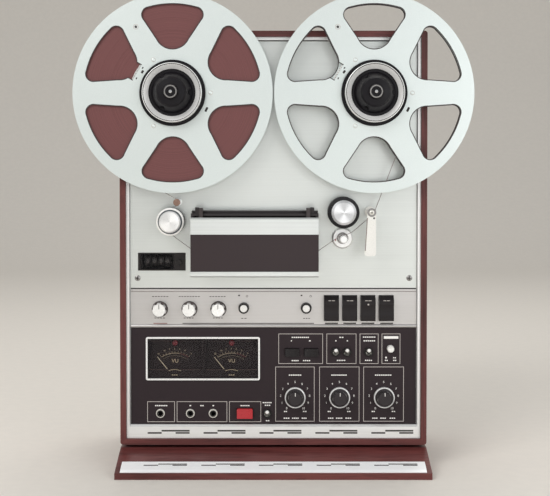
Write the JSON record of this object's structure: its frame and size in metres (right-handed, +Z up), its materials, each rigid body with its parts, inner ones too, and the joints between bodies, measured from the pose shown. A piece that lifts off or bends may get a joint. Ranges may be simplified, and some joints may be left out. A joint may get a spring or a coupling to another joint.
{
  "type": "reel-to-reel tape recorder",
  "caption": "Upright open-reel tape recorder in a wooden cabinet on a sloping plinth, with large windowed metal reels, hub adapters, tape transport, meters, keys and knobs.",
  "frame": {"origin": "on the plinth's underside, midway across, below the cabinet's front edge", "axes": "+Z up, the front faces -Y, +X to the right seen from the front"},
  "size_m": [0.5352, 0.276, 0.6398],
  "materials": {
    "case_wood": "oiled wood, fine grain",
    "plinth_wood": "polished wood",
    "rear_board": "dark matt paint",
    "satin_trim": "satin",
    "foot_rubber": "matt",
    "brushed_deck": "brushed",
    "brushed_strip": "brushed",
    "black_panel": "satin black",
    "plated_steel": "plated",
    "motor_metal": "dull grey paint",
    "polished_metal": "polished",
    "black_housing": "matt black",
    "head_metal": "lapped",
    "tape_brown": "smooth brown oxide",
    "counter_black": "gloss black",
    "bezel_bright": "polished",
    "meter_black": "matt black",
    "clear_pane": "clear",
    "board_green": "varnished board",
    "connector_metal": "plated",
    "reel_aluminium": "satin anodised",
    "adapter_black": "satin black",
    "roller_metal": "turned",
    "roller_rubber": "ground rubber",
    "lever_ivory": "smooth",
    "cover_silver": "satin",
    "cover_black": "smooth black",
    "wheel_white": "matt white",
    "bright_knob": "turned and polished",
    "button_black": "gloss black",
    "key_black": "gloss black",
    "needle_ivory": "painted",
    "red_plastic": "gloss red",
    "toggle_white": "gloss white",
    "switch_black": "gloss black",
    "dark_knob": "ribbed dark"
  },
  "bodies": {
    "recorder": {"wooden_case": "case_wood", "rear_cover": "rear_board", "plinth": "plinth_wood", "plinth_strip": "satin_trim", "rubber_feet": "foot_rubber", "trim_frame": "satin_trim", "deck_plate": "brushed_deck", "control_plate": "brushed_strip", "amplifier_panel": "black_panel", "chassis": "plated_steel", "drive_motors": "motor_metal", "tape_guides": "polished_metal", "head_block": "black_housing", "tape_heads": "head_metal", "tape_run": "tape_brown", "counter_case": "counter_black", "meter_bezel": "bezel_bright", "meter_movements": "meter_black", "window_glass": "clear_pane", "jack_sockets": "polished_metal", "electronics": "board_green", "rear_connectors": "connector_metal"},
    "supply_reel": {"supply_reel": "reel_aluminium", "supply_tape_pack": "tape_brown", "supply_hub_adapter": "adapter_black"},
    "takeup_reel": {"takeup_reel": "reel_aluminium", "takeup_hub_adapter": "adapter_black"},
    "head_cover": {"head_cover": "cover_silver", "head_cover_plate": "cover_black"},
    "guide_roller": {"guide_roller": "roller_metal"},
    "pinch_arm": {"pinch_arm": "plated_steel"},
    "pinch_roller": {"pinch_roller": "roller_rubber"},
    "capstan": {"capstan": "polished_metal"},
    "cue_lever": {"cue_lever": "lever_ivory"},
    "counter_units_wheel": {"counter_units_wheel": "wheel_white"},
    "selector_knob_1": {"selector_knob_1": "bright_knob"},
    "selector_knob_2": {"selector_knob_2": "bright_knob"},
    "selector_knob_3": {"selector_knob_3": "bright_knob"},
    "push_button_left": {"push_button_left": "button_black"},
    "push_button_right": {"push_button_right": "button_black"},
    "key_1": {"key_1": "key_black"},
    "key_2": {"key_2": "key_black"},
    "key_3": {"key_3": "key_black"},
    "key_4": {"key_4": "key_black"},
    "meter_needle_left": {"meter_needle_left": "needle_ivory"},
    "meter_needle_right": {"meter_needle_right": "needle_ivory"},
    "power_button": {"power_button": "red_plastic"},
    "toggle_low": {"toggle_low": "toggle_white"},
    "toggle_1": {"toggle_1": "toggle_white"},
    "toggle_2": {"toggle_2": "toggle_white"},
    "toggle_3": {"toggle_3": "toggle_white"},
    "monitor_knob": {"monitor_knob": "toggle_white"},
    "speed_switch_1": {"speed_switch_1": "switch_black"},
    "speed_switch_2": {"speed_switch_2": "switch_black"},
    "level_ring_1": {"level_ring_1": "bright_knob"},
    "level_ring_2": {"level_ring_2": "bright_knob"},
    "level_ring_3": {"level_ring_3": "bright_knob"},
    "level_knob_1": {"level_knob_1": "dark_knob"},
    "level_knob_2": {"level_knob_2": "dark_knob"},
    "level_knob_3": {"level_knob_3": "dark_knob"}
  },
  "joints": [
    {"name": "supply_turn", "type": "hinge", "parent": "recorder", "child": "supply_reel", "pos_m": [-0.13425, 0.009, 0.5065], "axis": [0, -1, 0], "continuous": true},
    {"name": "takeup_turn", "type": "hinge", "parent": "recorder", "child": "takeup_reel", "pos_m": [0.13425, 0.009, 0.5065], "axis": [0, -1, 0], "continuous": true},
    {"name": "guide_roller_turn", "type": "hinge", "parent": "recorder", "child": "guide_roller", "pos_m": [-0.1375, 0.009, 0.33485], "axis": [0, -1, 0], "continuous": true},
    {"name": "pinch_arm_swing", "type": "hinge", "parent": "recorder", "child": "pinch_arm", "pos_m": [0.0457, 0.009, 0.343], "axis": [0, 1, 0], "range_deg": [0, 10.4], "stiffness_Nm_per_rad": 0.5, "springref_deg": -11.46},
    {"name": "pinch_roller_turn", "type": "hinge", "parent": "pinch_arm", "child": "pinch_roller", "pos_m": [0.0935, 0.009, 0.34735], "axis": [0, -1, 0], "continuous": true},
    {"name": "capstan_turn", "type": "hinge", "parent": "recorder", "child": "capstan", "pos_m": [0.0935, 0.009, 0.31165], "axis": [0, -1, 0], "continuous": true},
    {"name": "cue_lever_turn", "type": "hinge", "parent": "recorder", "child": "cue_lever", "pos_m": [0.1305, 0.009, 0.34755], "axis": [0, -1, 0], "range_deg": [-15, 15], "stiffness_Nm_per_rad": 0.05},
    {"name": "head_cover_hinge", "type": "hinge", "parent": "recorder", "child": "head_cover", "pos_m": [-0.0249, -0.022, 0.35015], "axis": [-1, 0, 0], "range_deg": [0, 80]},
    {"name": "counter_wheel_turn", "type": "hinge", "parent": "recorder", "child": "counter_units_wheel", "pos_m": [-0.15165, 0.023, 0.27935], "axis": [1, 0, 0], "continuous": true},
    {"name": "selector_1_turn", "type": "hinge", "parent": "recorder", "child": "selector_knob_1", "pos_m": [-0.1544, 0.009, 0.2146], "axis": [0, -1, 0], "range_deg": [-45, 45]},
    {"name": "selector_2_turn", "type": "hinge", "parent": "recorder", "child": "selector_knob_2", "pos_m": [-0.1142, 0.009, 0.2146], "axis": [0, -1, 0], "range_deg": [-45, 45]},
    {"name": "selector_3_turn", "type": "hinge", "parent": "recorder", "child": "selector_knob_3", "pos_m": [-0.0749, 0.009, 0.2146], "axis": [0, -1, 0], "range_deg": [-45, 45]},
    {"name": "push_button_left_press", "type": "slide", "parent": "recorder", "child": "push_button_left", "axis": [0, 1, 0], "range_m": [0, 0.0025], "stiffness_N_per_m": 200},
    {"name": "push_button_right_press", "type": "slide", "parent": "recorder", "child": "push_button_right", "axis": [0, 1, 0], "range_m": [0, 0.0025], "stiffness_N_per_m": 200},
    {"name": "key_1_press", "type": "slide", "parent": "recorder", "child": "key_1", "axis": [0, 1, 0], "range_m": [0, 0.0035], "stiffness_N_per_m": 250},
    {"name": "key_2_press", "type": "slide", "parent": "recorder", "child": "key_2", "axis": [0, 1, 0], "range_m": [0, 0.0035], "stiffness_N_per_m": 250},
    {"name": "key_3_press", "type": "slide", "parent": "recorder", "child": "key_3", "axis": [0, 1, 0], "range_m": [0, 0.0035], "stiffness_N_per_m": 250},
    {"name": "key_4_press", "type": "slide", "parent": "recorder", "child": "key_4", "axis": [0, 1, 0], "range_m": [0, 0.0035], "stiffness_N_per_m": 250},
    {"name": "needle_left_swing", "type": "hinge", "parent": "recorder", "child": "meter_needle_left", "pos_m": [-0.1347, 0.009, 0.1189], "axis": [0, 1, 0], "range_deg": [0, 78], "stiffness_Nm_per_rad": 0.0001, "springref_deg": -34.38},
    {"name": "needle_right_swing", "type": "hinge", "parent": "recorder", "child": "meter_needle_right", "pos_m": [-0.0572, 0.009, 0.1189], "axis": [0, 1, 0], "range_deg": [0, 78], "stiffness_Nm_per_rad": 0.0001, "springref_deg": -34.38},
    {"name": "power_press", "type": "slide", "parent": "recorder", "child": "power_button", "axis": [0, 1, 0], "range_m": [0, 0.003], "stiffness_N_per_m": 250},
    {"name": "toggle_low_throw", "type": "hinge", "parent": "recorder", "child": "toggle_low", "pos_m": [-0.0085, 0.011, 0.0724], "axis": [1, 0, 0], "range_deg": [0, 30]},
    {"name": "toggle_1_throw", "type": "hinge", "parent": "recorder", "child": "toggle_1", "pos_m": [0.0846, 0.011, 0.1562], "axis": [1, 0, 0], "range_deg": [0, 30]},
    {"name": "toggle_2_throw", "type": "hinge", "parent": "recorder", "child": "toggle_2", "pos_m": [0.1, 0.011, 0.1562], "axis": [1, 0, 0], "range_deg": [0, 30]},
    {"name": "toggle_3_throw", "type": "hinge", "parent": "recorder", "child": "toggle_3", "pos_m": [0.1294, 0.011, 0.1562], "axis": [1, 0, 0], "range_deg": [0, 30]},
    {"name": "monitor_turn", "type": "hinge", "parent": "recorder", "child": "monitor_knob", "pos_m": [0.159, 0.009, 0.1612], "axis": [0, -1, 0], "range_deg": [-30, 30]},
    {"name": "speed_switch_1_press", "type": "slide", "parent": "recorder", "child": "speed_switch_1", "axis": [0, 1, 0], "range_m": [0, 0.0025], "stiffness_N_per_m": 200},
    {"name": "speed_switch_2_press", "type": "slide", "parent": "recorder", "child": "speed_switch_2", "axis": [0, 1, 0], "range_m": [0, 0.0025], "stiffness_N_per_m": 200},
    {"name": "level_ring_1_turn", "type": "hinge", "parent": "recorder", "child": "level_ring_1", "pos_m": [0.0294, 0.009, 0.0952], "axis": [0, -1, 0], "range_deg": [-150, 150]},
    {"name": "level_ring_2_turn", "type": "hinge", "parent": "recorder", "child": "level_ring_2", "pos_m": [0.0898, 0.009, 0.0952], "axis": [0, -1, 0], "range_deg": [-150, 150]},
    {"name": "level_ring_3_turn", "type": "hinge", "parent": "recorder", "child": "level_ring_3", "pos_m": [0.1502, 0.009, 0.0952], "axis": [0, -1, 0], "range_deg": [-150, 150]},
    {"name": "level_knob_1_turn", "type": "hinge", "parent": "recorder", "child": "level_knob_1", "pos_m": [0.0294, 0.009, 0.0952], "axis": [0, -1, 0], "range_deg": [-150, 150]},
    {"name": "level_knob_2_turn", "type": "hinge", "parent": "recorder", "child": "level_knob_2", "pos_m": [0.0898, 0.009, 0.0952], "axis": [0, -1, 0], "range_deg": [-150, 150]},
    {"name": "level_knob_3_turn", "type": "hinge", "parent": "recorder", "child": "level_knob_3", "pos_m": [0.1502, 0.009, 0.0952], "axis": [0, -1, 0], "range_deg": [-150, 150]}
  ],
  "couplings": [
    {"joint": "takeup_turn", "follows": "supply_turn", "ratio": 2.117},
    {"joint": "guide_roller_turn", "follows": "supply_turn", "ratio": 9.3077},
    {"joint": "counter_wheel_turn", "follows": "supply_turn", "ratio": 0.1}
  ]
}
